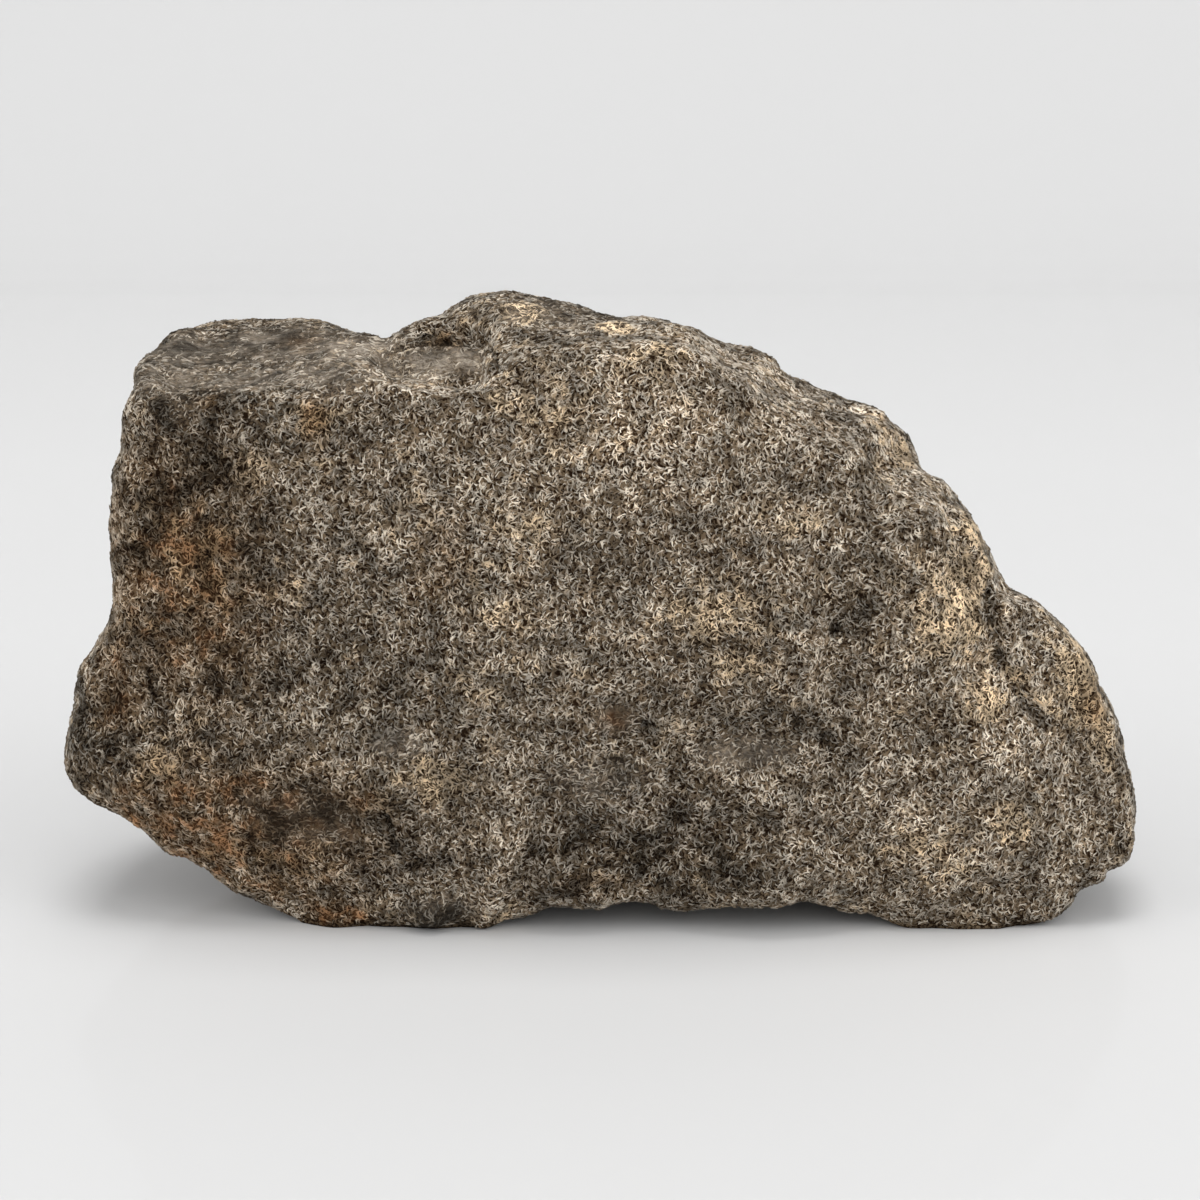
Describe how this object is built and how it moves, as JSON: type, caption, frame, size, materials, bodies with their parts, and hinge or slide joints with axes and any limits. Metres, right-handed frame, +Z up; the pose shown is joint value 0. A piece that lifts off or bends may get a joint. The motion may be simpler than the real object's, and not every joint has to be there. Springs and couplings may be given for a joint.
{
  "type": "meteorite end cut",
  "caption": "Rough weathered end of a stony meteorite, sawn off flat on one side, that stands on its lower edge.",
  "frame": {"origin": "on the floor, under the middle of the stone's bounding box", "axes": "+Z up, +Y out of the sawn face, -Y towards the broad natural face, +X along the stone towards its low rounded end"},
  "size_m": [0.05, 0.0152, 0.0283],
  "materials": {
    "weathered_stone": "dry, dull, rough weathered skin with fine light grains on dark grey-brown"
  },
  "bodies": {
    "root": {"stone": "weathered_stone"}
  },
  "joints": []
}
